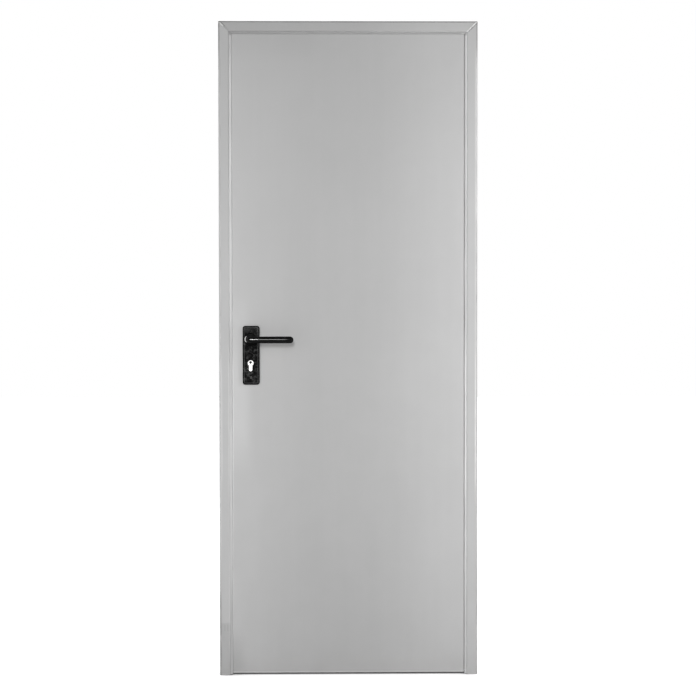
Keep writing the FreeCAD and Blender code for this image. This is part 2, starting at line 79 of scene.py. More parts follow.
# a socket of a node tree: sums, differences, products and quotients of wires add Math nodes
class Wire:
    def __init__(self, tree, socket=None):
        self.tree = tree
        self.socket = socket

    # any node: its settings are set first, then its sockets get values or wires
    def node(self, kind, settings=None, links=None, out=0):
        made = self.tree.nodes.new(kind)
        for name, value in (settings or {}).items():
            setattr(made, name, value)
        for name, value in (links or {}).items():
            if isinstance(value, Wire):
                self.tree.links.new(value.socket, made.inputs[name])
            else:
                made.inputs[name].default_value = value
        return Wire(self.tree, made.outputs[out] if len(made.outputs) else None)

    def join(self, operation, first, second):
        return self.node("ShaderNodeMath", {"operation": operation}, {0: first, 1: second})

    def __add__(self, other):
        return self.join("ADD", self, other)

    def __radd__(self, other):
        return self.join("ADD", other, self)

    def __sub__(self, other):
        return self.join("SUBTRACT", self, other)

    def __rsub__(self, other):
        return self.join("SUBTRACT", other, self)

    def __mul__(self, other):
        return self.join("MULTIPLY", self, other)

    def __rmul__(self, other):
        return self.join("MULTIPLY", other, self)

    def __truediv__(self, other):
        return self.join("DIVIDE", self, other)


def newFinish(name):
    finish = bpy.data.materials.new(name)
    finish.use_nodes = True
    finish.node_tree.nodes.clear()
    return finish, Wire(finish.node_tree)


def objectPoint(wire):
    return wire.node("ShaderNodeTexCoord", out="Object")


def axes(wire, point):
    return [wire.node("ShaderNodeSeparateXYZ", None, {0: point}, out=k) for k in range(3)]


def fade(value, low, high):  # 0 at low, 1 at high, eased between them
    settings = {"interpolation_type": "SMOOTHSTEP"}
    return value.node("ShaderNodeMapRange", settings, {0: value, 1: low, 2: high})


def fadeFrom(value, low, high, least):  # least at low, 1 at high
    return least + (1 - least) * fade(value, low, high)


def distanceFrom(value, place):
    return value.node("ShaderNodeMath", {"operation": "ABSOLUTE"}, {0: value - place})


def within(value, centre, half, soft):  # 1 within half of the centre, easing to 0 over soft
    return fade(distanceFrom(value, centre), half + soft, half)


def larger(first, *others):
    for other in others:
        first = first.join("MAXIMUM", first, other)
    return first


def diagonal(across, up):  # length from its two square parts
    squared = across * across + up * up
    return squared.node("ShaderNodeMath", {"operation": "SQRT"}, {0: squared})


def mottle(wire, point, size, detail, stretch=(1, 1, 1)):
    scaled = wire.node("ShaderNodeVectorMath", {"operation": "MULTIPLY"}, {0: point, 1: stretch})
    links = {0: scaled, "Scale": 1 / size, "Detail": detail, "Roughness": 0.55}
    return wire.node("ShaderNodeTexNoise", None, links)


def stretched(noise):  # noise lies near one half, so its middle is spread over 0 to 1
    return fade(noise, 0.3, 0.7)


def grey(tone, warm=0.0):  # a grey with a touch of warmth or, below zero, of blue
    return (tone * (1 + warm), tone, tone * (1 - warm), 1)


def evenGrey(value):  # a wire's value as a colour
    return value.node("ShaderNodeCombineColor", None, {0: value, 1: value, 2: value})


def blendTones(wire, factor, first, second):
    return wire.node("ShaderNodeMix", {"data_type": "RGBA"}, {0: factor, 6: first, 7: second}, out=2)


def clouded(wire, noise, look):  # the look's tone, less its spread or more by it as the noise goes
    low, high = grey(look["tone"] * (1 - look["spread"])), grey(look["tone"] * (1 + look["spread"]))
    return blendTones(wire, stretched(noise), low, high)


def darken(wire, colour, mask, share):  # multiplies a colour by 1 - share where the mask is 1
    settings = {"data_type": "RGBA", "blend_type": "MULTIPLY"}
    return wire.node("ShaderNodeMix", settings, {0: 1.0, 6: colour, 7: evenGrey(1 - mask * share)}, out=2)


def bump(wire, height, strength, depth, bend):  # relief on edges that look rounded to the radius bend
    rounded = wire.node("ShaderNodeBevel", {"samples": 4}, {"Radius": bend})
    links = {"Height": height, "Strength": strength, "Distance": depth, "Normal": rounded}
    return wire.node("ShaderNodeBump", None, links)


def closeFinish(wire, colour, rough, normal, others):
    links = {"Base Color": colour, "Roughness": rough, "Normal": normal, **others}
    surface = wire.node("ShaderNodeBsdfPrincipled", None, links)
    wire.node("ShaderNodeOutputMaterial", None, {"Surface": surface})


# paint on folded steel sheet: satin grey, faintly clouded, with orange peel and dust towards the floor.
# In the settings of finishes a pair is where a fade is 0 and where it is 1. A band is its middle, its half
# width and its soft edge
paint = {
    "leaf": {"tone": 0.500, "spread": 0.030, "rough": 0.48, "bend": 0.6 * mm},
    "frame": {"tone": 0.495, "spread": 0.035, "rough": 0.50, "bend": 0.5 * mm},
    "gloss": 0.28,
    "clouds": {"broad": 0.42, "fine": 0.09, "speck": 7 * mm, "shares": (0.5, 0.3, 0.2)},
    "drawn": {"size": 1.0, "stretch": (26, 26, 1.4)},  # faint upright marks of the drawn sheet
    "uneven": {"cloud": 0.16, "drawn": 0.06},
    "peel": {"size": 1.7 * mm, "share": 0.8, "strength": 0.22, "depth": 0.045 * mm},
    "grain": {"size": 0.45 * mm, "share": 0.2},
    "dust": {"reach": 0.075, "share": 0.16, "tone": 0.36, "warm": 0.03},
    "specks": {"range": (0.66, 0.74), "up": (0.5, 0.05), "share": 0.5},
    "rubbed": {"half": 1.0 * mm, "soft": 2.4 * mm, "ends": 0.1, "patchy": (0.4, 0.6, 0.7), "tone": 0.80},
}


def paintTone(wire, point, look):
    clouds, drawn = paint["clouds"], paint["drawn"]
    broad = mottle(wire, point, clouds["broad"], 4)
    cloud = mottle(wire, point, clouds["fine"], 3)
    upright = mottle(wire, point, drawn["size"], 2, drawn["stretch"])
    broadShare, cloudShare, uprightShare = clouds["shares"]
    tone = broad * broadShare + cloud * cloudShare + upright * uprightShare
    return clouded(wire, tone, look), cloud, upright


def floorDust(wire, colour, z, cloud, speck):
    dust, specks = paint["dust"], paint["specks"]
    amount = fade(z + (cloud - 0.5) * dust["reach"], dust["reach"], 0.0) * dust["share"]
    fine = fade(speck, *specks["range"]) * fade(z, *specks["up"])
    amount = amount + fine * dust["share"] * specks["share"]
    return blendTones(wire, amount, colour, grey(dust["tone"], dust["warm"]))


# painted highlights and painted light over shade, as pale lines: an edge of the door, a distance aside of it,
# two heights and a share
def paintLitLines(wire, colour, x, z, cloud, lines):
    rubbed = paint["rubbed"]
    for edge, aside, low, high, share in lines:
        pale = within(x, door[edge] + aside, rubbed["half"], rubbed["soft"])
        pale = pale * within(z, (low + high) / 2, (high - low) / 2, rubbed["ends"])
        pale = pale * fadeFrom(cloud, *rubbed["patchy"])
        colour = blendTones(wire, pale * share, colour, grey(rubbed["tone"]))
    return colour


def paintRough(look, cloud, upright):
    uneven = paint["uneven"]
    return look["rough"] + (cloud - 0.5) * uneven["cloud"] + (upright - 0.5) * uneven["drawn"]


def closePaint(wire, point, look, colour, rough):
    peel, grain = paint["peel"], paint["grain"]
    relief = mottle(wire, point, peel["size"], 2) * peel["share"]
    relief = relief + mottle(wire, point, grain["size"], 1) * grain["share"]
    surface = bump(wire, relief, peel["strength"], peel["depth"], look["bend"])
    closeFinish(wire, colour, rough, surface, {"Specular IOR Level": paint["gloss"]})


# marks on the leaf's paint
leafMarks = {
    "thin": {"across": (-0.43, 0.07, 0.27), "darker": 0.095},  # painted shade down the middle
    "foot": {"in": (60 * mm, 15 * mm), "up": (0.15, 0.05), "darker": 0.13},  # lower corner at the lock
    "top": {"across": (-0.35, -0.6), "up": (1.86, 1.95), "darker": 0.05},  # painted shade on the upper part at the lock
    # pale lines painted on the leaf beside the seal's lip, painted light over its shade
    "rubbed": (
        ("lockReveal", 8.5 * mm, 0.15, 0.95, 0.30),
        ("lockReveal", 8.5 * mm, 0.62, 0.92, 0.25),
    ),
    # painted light beside the backplate, paler where the plate's shade falls
    "clean": {"across": (-0.730, 8 * mm, 42 * mm), "up": (0.90, 0.14, 0.16), "share": 0.19},
    "hand": {"from": (70 * mm, -50 * mm), "reach": (85 * mm, 17 * mm), "ragged": 80 * mm, "share": 0.10},
    "handled": {"tone": 0.42, "warm": 0.03, "smoother": 0.6},
    "hem": {"rise": 3.2 * mm, "half": 0.9 * mm, "soft": 1.4 * mm, "tone": 0.68, "share": 0.45},  # painted highlight on the bottom bend
}


def leafPaint():
    look = paint["leaf"]
    finish, wire = newFinish("leaf_paint")
    point = objectPoint(wire)
    x, y, z = axes(wire, point)
    colour, cloud, upright = paintTone(wire, point, look)
    thin, foot, top, clean = (leafMarks[mark] for mark in ("thin", "foot", "top", "clean"))
    # painted shade: the leaf darker down its middle
    colour = darken(wire, colour, within(x, *thin["across"]), thin["darker"])
    colour = floorDust(wire, colour, z, cloud, mottle(wire, point, paint["clouds"]["speck"], 2))
    nearLock = fade(x - door["lockReveal"], *foot["in"])
    colour = darken(wire, colour, fade(z, *foot["up"]) * nearLock, foot["darker"])
    # painted shade on the upper part of the leaf at the lock
    colour = darken(wire, colour, fade(z, *top["up"]) * fade(x, *top["across"]), top["darker"])
    colour = paintLitLines(wire, colour, x, z, cloud, leafMarks["rubbed"])
    # painted light beside the backplate
    plateSideLight = within(x, *clean["across"]) * within(z, *clean["up"])
    colour = blendTones(wire, plateSideLight * clean["share"], colour, grey(paint["rubbed"]["tone"]))
    # dulled and smoothed by hands below the lever
    hand, handled, hem = leafMarks["hand"], leafMarks["handled"], leafMarks["hem"]
    aside, above = hand["from"]
    away = diagonal(x - (door["leverAxis"][0] + aside), z - (door["leverAxis"][2] + above))
    touched = fade(away + (cloud - 0.5) * hand["ragged"], *hand["reach"]) * hand["share"]
    colour = blendTones(wire, touched, colour, grey(handled["tone"], handled["warm"]))
    # painted highlight along the leaf's bottom bend
    hemGlintMask = within(z, lowCorner("leaf_push_tray")[2] + hem["rise"], hem["half"], hem["soft"])
    colour = blendTones(wire, hemGlintMask * hem["share"], colour, grey(hem["tone"]))
    rough = paintRough(look, cloud, upright) - touched * handled["smoother"]
    closePaint(wire, point, look, colour, rough)
    return finish


# marks on the frame's paint
frameMarks = {
    "coat": {"in": (2 * mm, 0.0), "top": 0.158, "soft": 8 * mm, "ragged": 6 * mm, "darker": 0.12},
    "runs": {"places": (-0.7747, -0.7658, -0.7590), "half": 0.44 * mm, "soft": 1.1 * mm, "darker": 0.17},
    "runEnds": {"low": 0.135, "soft": 3 * mm},
    # painted shade along the outer bends, where the paint is also rougher
    "edge": {"width": 2.1 * mm, "soft": 2.2 * mm, "deep": (6 * mm, 3 * mm), "patchy": (0.35, 0.6, 0.45)},
    "edgeShares": {"top": 0.55, "lock": 0.55, "hinge": 0.45, "mid": 0.04, "rougher": 0.2},
    "edgeEnds": {"low": (0.5, 0.2), "high": (1.86, 1.93)},
    # pale lines painted as highlights along the outer bends, and beside the lock reveal as painted light over
    # its shade
    "rubbed": (
        ("hingeWall", -5.5 * mm, 0.60, 1.85, 0.35),
        ("hingeWall", -5.5 * mm, 0.65, 0.92, 0.45),
        ("hingeWall", -3.0 * mm, 1.45, 1.85, 0.45),
        ("lockWall", 3.0 * mm, 0.30, 1.85, 0.40),
        ("lockWall", 7.0 * mm, 0.65, 0.92, 0.35),
        ("lockReveal", -1.5 * mm, 0.15, 0.95, 0.20),
        ("lockReveal", -1.5 * mm, 0.62, 0.92, 0.20),
    ),
    # painted shade on the head and in the bends beside the seal
    "head": {"up": (-1 * mm, 1 * mm), "past": (0.0, 1 * mm), "across": (-0.1, -0.4), "darker": 0.12},
    "seam": {
        "band": (1.3 * mm, 0.7 * mm, 1.8 * mm), "up": (1.45, 1.65), "across": (-0.2, -0.5), "darker": 0.16,
    },
    "fold": {"band": (5.0 * mm, 1.0 * mm, 2.0 * mm), "patchy": (0.42, 0.6), "darker": 0.14},
    "corner": {"in": (50 * mm, 40 * mm), "up": (4 * mm, 8 * mm), "hingeUp": (-1 * mm, 1 * mm)},
    "mitreDark": {"lock": (3.2 * mm, 0.6 * mm, 1.2 * mm), "hinge": (-3.2 * mm, 0.6 * mm, 1.2 * mm)},
    "mitreDarkShares": {"hinge": 1.3, "patchy": (0.40, 0.52), "darker": 0.45},
    # a pale painted highlight on the welds' crests
    "mitreBare": {"lock": (-0.8 * mm, 1.2 * mm, 1.2 * mm), "hinge": (0.6 * mm, 1.2 * mm, 1.2 * mm)},
    "mitreBareEnds": {"lockUp": (13 * mm, 20 * mm), "topDown": (1.5 * mm, 4 * mm)},
    "mitreBareTone": {"blotch": 14 * mm, "patchy": (0.42, 0.58, 0.35), "tone": 0.92},
}


# a second coat low on the lock jamb, with three runs at its upper edge
def secondCoat(wire, colour, x, z, speck):
    coat, runs, ends = frameMarks["coat"], frameMarks["runs"], frameMarks["runEnds"]
    ragged = z + (speck - 0.5) * coat["ragged"]
    coated = fade(x - door["lockReveal"], *coat["in"]) * fade(ragged, coat["top"] + coat["soft"], coat["top"])
    colour = darken(wire, colour, coated, coat["darker"])
    half = (coat["top"] - ends["low"]) / 2 - ends["soft"]
    between = within(z, (coat["top"] + ends["low"]) / 2, half, ends["soft"])
    drops = larger(*(within(x, place, runs["half"], runs["soft"]) for place in runs["places"]))
    return darken(wire, colour, drops * between, runs["darker"])


# painted shade along the outer bends of the push side, most of it on the head and at the jambs' ends
def outerBendShade(x, y, z):
    edge, shares, ends = frameMarks["edge"], frameMarks["edgeShares"], frameMarks["edgeEnds"]
    inside = edge["width"] + edge["soft"]
    onTop = fade(door["top"] - z, inside, edge["width"])
    onLock = fade(x - door["lockWall"], inside, edge["width"])
    onHinge = fade(door["hingeWall"] - x, inside, edge["width"])
    along = shares["mid"] + (1 - shares["mid"]) * larger(fade(z, *ends["low"]), fade(z, *ends["high"]))
    onSides = larger(onLock * shares["lock"], onHinge * shares["hinge"]) * along
    return larger(onTop * shares["top"], onSides) * fade(y - door["pushFace"], *edge["deep"])


# painted shade: the head darker towards the lock and dark lines in the bends beside the seal; and a patchy
# darker line inside the lock edge
def shadeHeadAndSeams(wire, colour, x, z, cloud, above, atLock):
    head, seam, fold = frameMarks["head"], frameMarks["seam"], frameMarks["fold"]
    onHead = fade(above, *head["up"]) * fade(atLock, *head["past"])
    colour = darken(wire, colour, onHead * fade(x, *head["across"]), head["darker"])
    lockSeamShade = within(door["lockReveal"] - x, *seam["band"]) * fade(z, *seam["up"]) * (1 - onHead)
    headSeamShade = within(above, *seam["band"]) * fade(x, *seam["across"]) * onHead
    colour = darken(wire, colour, larger(lockSeamShade, headSeamShade), seam["darker"])
    line = within(x - door["lockWall"], *fold["band"]) * fade(cloud, *fold["patchy"])
    return darken(wire, colour, line, fold["darker"])


# dark broken lines beside the mitre welds, on the head's side at the lock and the jamb's side at the hinge,
# and a pale painted highlight on the welds' crests
def mitreMarks(wire, colour, point, x, z, speck, above, atLock, atHinge):
    corner, dark, glintBands = frameMarks["corner"], frameMarks["mitreDark"], frameMarks["mitreBare"]
    shares, ends, glintTone = (frameMarks[f"mitre{part}"] for part in ("DarkShares", "BareEnds", "BareTone"))
    nearLock = fade(x - door["lockWall"], *corner["in"])
    nearHinge = fade(door["hingeWall"] - x, *corner["in"])
    inCorner = larger(fade(above, *corner["up"]), fade(above, *corner["hingeUp"]) * nearHinge)
    beside = larger(
        within(atLock, *dark["lock"]) * nearLock,
        within(atHinge, *dark["hinge"]) * nearHinge * shares["hinge"],
    )
    colour = darken(wire, colour, beside * inCorner * fade(speck, *shares["patchy"]), shares["darker"])
    crest = larger(
        within(atLock, *glintBands["lock"]) * nearLock * fade(above, *ends["lockUp"]),
        within(atHinge, *glintBands["hinge"]) * nearHinge,
    )
    blotch = fadeFrom(mottle(wire, point, glintTone["blotch"], 2), *glintTone["patchy"])
    crest = crest * inCorner * fade(door["top"] - z, *ends["topDown"]) * blotch
    return blendTones(wire, crest, colour, grey(glintTone["tone"]))


def framePaint():
    look = paint["frame"]
    finish, wire = newFinish("frame_paint")
    point = objectPoint(wire)
    x, y, z = axes(wire, point)
    colour, cloud, upright = paintTone(wire, point, look)
    speck = mottle(wire, point, paint["clouds"]["speck"], 2)
    colour = floorDust(wire, colour, z, cloud, speck)
    colour = secondCoat(wire, colour, x, z, speck)
    bendShade = outerBendShade(x, y, z)
    # painted shade along the outer bends
    colour = darken(wire, colour, bendShade * fadeFrom(cloud, *frameMarks["edge"]["patchy"]), 1.0)
    # painted highlights along the outer bends and painted light beside the lock reveal
    colour = paintLitLines(wire, colour, x, z, cloud, frameMarks["rubbed"])
    # square distances from both mitres, above zero on the head's side
    above = z - door["headReveal"]
    atLock = (x - door["lockReveal"] + above) * math.sqrt(0.5)
    atHinge = (door["hingeReveal"] - x + above) * math.sqrt(0.5)
    colour = shadeHeadAndSeams(wire, colour, x, z, cloud, above, atLock)
    colour = mitreMarks(wire, colour, point, x, z, speck, above, atLock, atHinge)
    rough = paintRough(look, cloud, upright) + bendShade * frameMarks["edgeShares"]["rougher"]
    closePaint(wire, point, look, colour, rough)
    return finish


# black nylon: polished by hands on the levers, dusty and finely pitted on the backplates
nylon = {
    "grip": {"tone": 0.0003, "dusty": 0.0006, "rough": 0.04, "gloss": 0.078, "pits": 0.0, "bend": 0.4 * mm},
    "plate": {"tone": 0.0006, "dusty": 0.060, "rough": 0.60, "gloss": 0.04, "pits": 0.12, "bend": 0.6 * mm},
    # the moulded line is paler: a painted highlight
    "line": {"tone": 0.045, "dusty": 0.12, "rough": 0.42, "gloss": 0.12, "pits": 0.05, "bend": 0.3 * mm},
    "sizes": {"cloud": 9 * mm, "grain": 1.1 * mm, "pits": 3.5 * mm},
    "dust": {"cloud": 0.55, "pits": 0.45, "range": (0.46, 0.67)},
    "uneven": {"cloud": 0.08, "grain": 0.04},
    "relief": {"grain": 0.3, "depth": 0.25 * mm},
    "flat": (0.9 * mm, 0.3 * mm),  # dust lies on the flats and not on the rounded rims
    "dustyTop": {"down": (26 * mm, 12 * mm), "across": (18 * mm, -4 * mm), "pits": (0.3, 0.6), "share": 0.7},
    "collar": {"reach": (21.0 * mm, 20.5 * mm), "out": (0.2 * mm, 1 * mm), "rough": 0.30},
    # a pale crescent on the push collar's shoulder: a painted highlight
    "crescent": {"offset": (-5.3 * mm, 1.4 * mm), "band": (11.3 * mm, 0.6 * mm, 0.7 * mm)},
    "crescentTone": {"tone": 0.90, "turn": (0.5, 0.92)},
}


# backplates: dusty above, clean and polished on the collar, and a painted highlight, a pale crescent on the
# push side away from the lever
def plateWearAndGlint(wire, point, pits, lifted, rough):
    x, y, z = axes(wire, point)
    leverX, leverZ = door["leverAxis"][0], door["leverAxis"][2]
    top, collar, crescent = nylon["dustyTop"], nylon["collar"], nylon["crescent"]
    upper = fade(highCorner("push_backplate")[2] - z, *top["down"]) * fade(x - leverX, *top["across"])
    lifted = larger(lifted, top["share"] * upper * fade(pits, *top["pits"]))
    outPush, outPull = door["pushPlate"] - y, y - door["pullPlate"]
    onPush = fade(outPush, *collar["out"])
    polished = fade(diagonal(x - leverX, z - leverZ), *collar["reach"])
    polished = polished * larger(onPush, fade(outPull, *collar["out"]))
    deep, shallow = nylon["flat"]
    flat = larger(fade(outPush, -deep, -shallow), fade(outPull, -deep, -shallow))
    lifted = lifted * (1 - polished) * flat
    rough = rough + polished * (collar["rough"] - nylon["plate"]["rough"])
    away = (leverX + crescent["offset"][0]) - x
    out = diagonal(away, z - (leverZ + crescent["offset"][1]))
    collarGlint = within(out, *crescent["band"]) * onPush * fade(away / out, *nylon["crescentTone"]["turn"])
    return lifted, rough, collarGlint


def nylonFinish(name):
    look, sizes, dust, uneven, relief = (nylon[k] for k in (name, "sizes", "dust", "uneven", "relief"))
    finish, wire = newFinish(f"black_nylon_{name}")
    point = objectPoint(wire)
    cloud = mottle(wire, point, sizes["cloud"], 3)
    grain = mottle(wire, point, sizes["grain"], 2)
    pits = mottle(wire, point, sizes["pits"], 3)
    lifted = fade(cloud * dust["cloud"] + pits * dust["pits"], *dust["range"])
    rough = look["rough"] + (cloud - 0.5) * uneven["cloud"] + (grain - 0.5) * uneven["grain"]
    if name == "plate":
        lifted, rough, collarGlint = plateWearAndGlint(wire, point, pits, lifted, rough)
    colour = blendTones(wire, lifted, grey(look["tone"]), grey(look["dusty"]))
    # painted highlight: the pale crescent on the push collar
    if name == "plate":
        colour = blendTones(wire, collarGlint, colour, grey(nylon["crescentTone"]["tone"]))
    surface = bump(wire, grain * relief["grain"] + pits, look["pits"], relief["depth"], look["bend"])
    closeFinish(wire, colour, rough, surface, {"Specular IOR Level": look["gloss"]})
    return finish


# bare metals: tone, roughness and the size of their fine marks
metals = {
    "zinc_plate": {"tone": 0.46, "warm": -0.01, "rough": 0.42, "marks": 2.5 * mm},
    "turned_brass": {"tone": 0.48, "warm": 0.3, "rough": 0.3, "marks": 1.5 * mm},
    "dark_steel": {"tone": 0.07, "warm": 0.02, "rough": 0.34, "marks": 1.2 * mm},
}
metalWear = {
    "cloud": 14 * mm, "dull": 0.8, "bright": 1.1, "uneven": {"marks": 0.2, "cloud": 0.15},
    "strength": 0.08, "depth": 0.1 * mm, "bend": 0.4 * mm,
}


def metalFinish(name):
    look, uneven = metals[name], metalWear["uneven"]
    finish, wire = newFinish(name)
    point = objectPoint(wire)
    cloud = mottle(wire, point, metalWear["cloud"], 3)
    marks = mottle(wire, point, look["marks"], 3)
    dull, bright = (grey(look["tone"] * metalWear[end], look["warm"]) for end in ("dull", "bright"))
    colour = blendTones(wire, cloud, dull, bright)
    rough = look["rough"] + (marks - 0.5) * uneven["marks"] + (cloud - 0.5) * uneven["cloud"]
    surface = bump(wire, marks, metalWear["strength"], metalWear["depth"], metalWear["bend"])
    closeFinish(wire, colour, rough, surface, {"Metallic": 1.0})
    return finish


# matt nickel of the key cylinder: painted shade inside the keyway and at its mouth, a fine dark ring round
# the plug and a line down the stem
nickel = {
    "tone": 0.80, "warm": 0.012, "dull": 0.86, "bright": 1.06, "rough": 0.38, "gloss": 0.03,
    "cloud": 11 * mm, "marks": 0.9 * mm, "uneven": {"marks": 0.16, "cloud": 0.12},
    "strength": 0.06, "depth": 0.1 * mm, "bend": 0.5 * mm,
    "ring": {"band": (6.55 * mm, 0.25 * mm, 0.25 * mm), "share": 0.5},
    "stem": {"band": (0.0, 0.25 * mm, 0.5 * mm), "up": (-9 * mm, -11 * mm), "share": 0.3},
    "lineDarker": 0.8,
    # painted shade inside the keyway and at its mouth
    "keyway": {"across": (0.0, 1.55 * mm, 0.05 * mm), "up": (0.0, 4.2 * mm, 0.05 * mm), "lip": 0.3 * mm},
    "keywayEnds": {"deep": 0.1 * mm, "lower": (-2 * mm, 0.0, 0.3), "darker": 0.985},
    "mouth": {"rise": 2.2 * mm, "reach": (4.35 * mm, 4.1 * mm), "plug": (6.4 * mm, 6.2 * mm)},
}


def nickelFinish():
    finish, wire = newFinish("satin_nickel")
    point = objectPoint(wire)
    x, y, z = axes(wire, point)
    aside, above = x - door["keyAxis"][0], z - door["keyAxis"][2]
    cloud = mottle(wire, point, nickel["cloud"], 3)
    marks = mottle(wire, point, nickel["marks"], 3)
    bright, dull = (grey(nickel["tone"] * nickel[end], nickel["warm"]) for end in ("bright", "dull"))
    colour = blendTones(wire, stretched(cloud), bright, dull)
    ring, stem, keyway, ends, mouth = (nickel[k] for k in ("ring", "stem", "keyway", "keywayEnds", "mouth"))
    fromAxis = diagonal(aside, above)
    ringLine = within(fromAxis, *ring["band"]) * ring["share"]
    stemLine = within(aside, *stem["band"]) * fade(above, *stem["up"]) * stem["share"]
    colour = darken(wire, colour, larger(ringLine, stemLine), nickel["lineDarker"])
    # painted shade inside the keyway and at its mouth, with no metal shine there
    facePush, facePull = lowCorner("push_plug")[1], highCorner("pull_plug")[1]
    sunk = within(y, (facePush + facePull) / 2, (facePull - facePush) / 2 - keyway["lip"], ends["deep"])
    keywayShade = within(aside, *keyway["across"]) * within(above, *keyway["up"]) * sunk
    keywayShade = keywayShade * fadeFrom(above, *ends["lower"])
    mouthShade = fade(diagonal(aside, above - mouth["rise"]), *mouth["reach"]) * fade(fromAxis, *mouth["plug"])
    dark = larger(keywayShade, mouthShade)
    colour = darken(wire, colour, dark, ends["darker"])
    uneven = nickel["uneven"]
    rough = nickel["rough"] + (marks - 0.5) * uneven["marks"] + (cloud - 0.5) * uneven["cloud"]
    surface = bump(wire, marks, nickel["strength"], nickel["depth"], nickel["bend"])
    closeFinish(wire, colour, rough, surface, {"Metallic": 1 - dark, "Specular IOR Level": nickel["gloss"]})
    return finish


# pale rubber of the seal
rubber = {
    "tone": 0.76, "spread": 0.05, "rough": 0.58, "uneven": 0.15, "gloss": 0.25,
    "cloud": 0.22, "pores": 0.8 * mm, "strength": 0.15, "depth": 0.08 * mm, "bend": 0.3 * mm,
    # painted shade under the head
    "underHead": {
        "down": (14 * mm, 5 * mm), "darker": 0.50, "corner": (22 * mm, 9 * mm), "cornerClean": 0.30,
    },
    "lockSide": {"across": (-0.3, -0.5), "all": 0.04, "low": 0.12, "high": 0.15},
    "lockHeights": {"low": (1.12, 0.95), "high": (1.84, 1.92)},
    "foot": {"up": (0.34, 0.18), "darker": 0.16},
    # painted highlight on the crest at the hinge side, and painted shade at its root
    "crest": {"band": (4.2 * mm, 0.6 * mm, 1.6 * mm), "tone": 0.98, "low": 0.3, "handed": 0.6},
    "crestHeights": {"low": (1.15, 1.0), "handed": (0.78, 0.16, 0.1)},
    "root": {"band": (0.6 * mm, 0.6 * mm, 1.6 * mm), "up": (1.6, 1.4), "darker": 0.13},
}


def rubberFinish():
    finish, wire = newFinish("pale_rubber")
    point = objectPoint(wire)
    x, y, z = axes(wire, point)
    cloud = mottle(wire, point, rubber["cloud"], 4)
    pores = mottle(wire, point, rubber["pores"], 2)
    colour = clouded(wire, cloud, rubber)
    into = door["hingeReveal"] - x
    # painted shade under the head; darker at both feet, and darker on the lock side, more so at both ends
    head, lock, heights, foot = (rubber[k] for k in ("underHead", "lockSide", "lockHeights", "foot"))
    underHead = fade(door["headReveal"] - z, *head["down"])
    underHead = underHead * (1 - head["cornerClean"] * fade(into, *head["corner"]))
    colour = darken(wire, colour, underHead, head["darker"])
    onLock = fade(x, *lock["across"])
    lockDarker = (lock["all"] + fade(z, *heights["low"]) * lock["low"]) * onLock
    lockDarker = lockDarker + fade(z, *heights["high"]) * onLock * (1 - underHead) * lock["high"]
    colour = darken(wire, colour, lockDarker + fade(z, *foot["up"]) * foot["darker"], 1.0)
    # at the hinge side a painted highlight on its crest low down, and painted shade at its root
    crest, heights, root = rubber["crest"], rubber["crestHeights"], rubber["root"]
    pale = crest["low"] * fade(z, *heights["low"]) + crest["handed"] * within(z, *heights["handed"])
    colour = blendTones(wire, within(into, *crest["band"]) * pale, colour, grey(crest["tone"]))
    colour = darken(wire, colour, within(into, *root["band"]) * fade(z, *root["up"]), root["darker"])
    rough = rubber["rough"] + (cloud - 0.5) * rubber["uneven"]
    surface = bump(wire, pores, rubber["strength"], rubber["depth"], rubber["bend"])
    closeFinish(wire, colour, rough, surface, {"Specular IOR Level": rubber["gloss"]})
    return finish


finishes = {
    "frame_steel": framePaint(),
    "leaf_steel": leafPaint(),
    "hinge_steel": metalFinish("zinc_plate"),
    "washer_brass": metalFinish("turned_brass"),
    "black_nylon": nylonFinish("plate"),
    "nickel": nickelFinish(),
}
finishes["lock_steel"] = finishes["hinge_steel"]
gripFinish, glintLineFinish = nylonFinish("grip"), nylonFinish("line")
darkSteel = metalFinish("dark_steel")
sealRubber = rubberFinish()
for subpart in frame["record"]["subparts"]:
    isLever = "lever" in subpart["node"]
    materials = frame["nodes"][subpart["node"]].data.materials
    materials.clear()
    materials.append(gripFinish if isLever else finishes[subpart["material_slot"]])
print("finishes set on", len(frame["nodes"]), "nodes")


# faces of a grid of points: each joins four neighbours, and a closed grid's last column joins its first
def gridFaces(rows, cols, closed):
    row, col = np.meshgrid(np.arange(rows - 1), np.arange(cols if closed else cols - 1), indexing="ij")
    here, below, nextCol = row * cols, (row + 1) * cols, (col + 1) % cols
    return np.stack([here + col, below + col, below + nextCol, here + nextCol], axis=-1).reshape(-1, 4)


# one mesh from grids whose columns go once round. Points that meet, as at poles and seams, are merged
def addPiece(name, grids, finish, body, sharpTurn=40):
    points = np.concatenate([grid.reshape(-1, 3) for grid in grids])
    faces, count = [], 0
    for grid in grids:
        faces.append(gridFaces(grid.shape[0], grid.shape[1], True) + count)
        count += grid.shape[0] * grid.shape[1]
    mesh = bpy.data.meshes.new(name)
    mesh.from_pydata(points.tolist(), [], np.concatenate(faces).tolist())
    work = bmesh.new()
    work.from_mesh(mesh)
    bmesh.ops.remove_doubles(work, verts=work.verts, dist=0.001 * mm)
    bmesh.ops.recalc_face_normals(work, faces=work.faces)
    work.to_mesh(mesh)
    work.free()
    mesh.shade_smooth()
    mesh.set_sharp_from_angle(angle=math.radians(sharpTurn))
    mesh.materials.append(finish)
    piece = bpy.data.objects.new(name, mesh)
    bpy.context.scene.collection.objects.link(piece)
    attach(piece, body)


# closes a grid at both ends with the middle of its end row, so that the surface has no open end
def capped(grid):
    first, last = grid[:1].mean(axis=1, keepdims=True), grid[-1:].mean(axis=1, keepdims=True)
    around = grid.shape[1]
    return np.concatenate([np.repeat(first, around, axis=1), grid, np.repeat(last, around, axis=1)])


